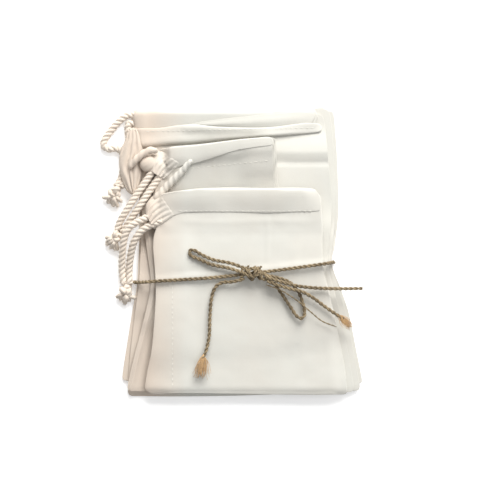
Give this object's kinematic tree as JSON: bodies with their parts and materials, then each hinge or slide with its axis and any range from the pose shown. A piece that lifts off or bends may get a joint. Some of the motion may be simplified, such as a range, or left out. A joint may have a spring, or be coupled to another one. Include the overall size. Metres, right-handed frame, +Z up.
{
  "type": "bundle of drawstring bags",
  "caption": "Folded cotton drawstring bags laid flat on each other and tied round with a jute twine bow; drawcords pull in their casings, the bow's loops and tails swing.",
  "frame": {"origin": "centre of the bundle's underside, on the surface it lies on", "axes": "+Z up out of the bundle; +Y from the folded ends towards the top casing; +X towards the ends of the casings that the cords don't leave"},
  "size_m": [0.1824, 0.202, 0.0212],
  "materials": {
    "cotton_cloth": "plain weave, unbleached, matt",
    "cotton_cord": "twisted soft cord, matt",
    "sewing_thread": "spun thread, matt",
    "jute_twine": "hairy plied jute, matt"
  },
  "bodies": {
    "bundle": {"large_bag_folded_tail": "cotton_cloth", "large_bag_back_panel": "cotton_cloth", "large_bag_front_panel": "cotton_cloth", "large_bag_hem_band": "cotton_cloth", "large_bag_casing": "cotton_cloth", "large_bag_hem_stitches": "sewing_thread", "large_bag_gathered_side": "cotton_cloth", "medium_bag_folded_tail": "cotton_cloth", "medium_bag_back_panel": "cotton_cloth", "medium_bag_front_panel": "cotton_cloth", "medium_bag_casing": "cotton_cloth", "medium_bag_gathered_mouth": "cotton_cloth", "medium_bag_hem_stitches": "sewing_thread", "medium_bag_inner_cord": "cotton_cord", "small_bag_folded_tail": "cotton_cloth", "small_bag_back_panel": "cotton_cloth", "small_bag_front_panel": "cotton_cloth", "small_bag_casing": "cotton_cloth", "small_bag_gathered_mouth": "cotton_cloth", "small_bag_hem_stitches": "sewing_thread", "small_bag_side_seam": "sewing_thread", "small_bag_inner_cord": "cotton_cord", "twine_wrap": "jute_twine", "twine_bow_knot": "jute_twine"},
    "large_drawcord": {"large_bag_inner_cord": "cotton_cord", "large_bag_cord_a": "cotton_cord", "large_bag_cord_b": "cotton_cord", "large_bag_knot": "cotton_cord", "large_bag_frayed_end": "cotton_cord"},
    "medium_drawcord": {"medium_bag_cord_a": "cotton_cord", "medium_bag_cord_b": "cotton_cord", "medium_bag_knot": "cotton_cord", "medium_bag_frayed_end": "cotton_cord"},
    "small_drawcord": {"small_bag_cord_a": "cotton_cord", "small_bag_cord_b": "cotton_cord", "small_bag_knot": "cotton_cord", "small_bag_frayed_end": "cotton_cord"},
    "left_loop": {"twine_left_loop": "jute_twine"},
    "left_tail": {"twine_left_tail": "jute_twine", "twine_left_tuft": "jute_twine"},
    "right_loop": {"twine_right_loop": "jute_twine"},
    "right_tails": {"twine_right_long_tail": "jute_twine", "twine_right_short_tail": "jute_twine", "twine_right_tuft": "jute_twine", "twine_stray_strand": "jute_twine"}
  },
  "joints": [
    {"name": "large_drawcord_pull", "type": "slide", "parent": "bundle", "child": "large_drawcord", "axis": [-1, 0, 0], "range_m": [0, 0.015]},
    {"name": "medium_drawcord_pull", "type": "slide", "parent": "bundle", "child": "medium_drawcord", "axis": [-0.5505, -0.8348, 0], "range_m": [0, 0.008]},
    {"name": "small_drawcord_pull", "type": "slide", "parent": "bundle", "child": "small_drawcord", "axis": [-0.9063, -0.4226, 0], "range_m": [0, 0.006]},
    {"name": "left_loop_swing", "type": "hinge", "parent": "bundle", "child": "left_loop", "pos_m": [0.008, -0.015, 0.0176], "axis": [0, 0, 1], "range_deg": [-8, 8]},
    {"name": "left_tail_swing", "type": "hinge", "parent": "bundle", "child": "left_tail", "pos_m": [0.008, -0.015, 0.0176], "axis": [0, 0, 1], "range_deg": [-2, 12]},
    {"name": "right_loop_swing", "type": "hinge", "parent": "bundle", "child": "right_loop", "pos_m": [0.008, -0.015, 0.0176], "axis": [0, 0, 1], "range_deg": [-12, 2]},
    {"name": "right_tails_swing", "type": "hinge", "parent": "bundle", "child": "right_tails", "pos_m": [0.008, -0.015, 0.0176], "axis": [0, 0, 1], "range_deg": [-2, 8]}
  ]
}
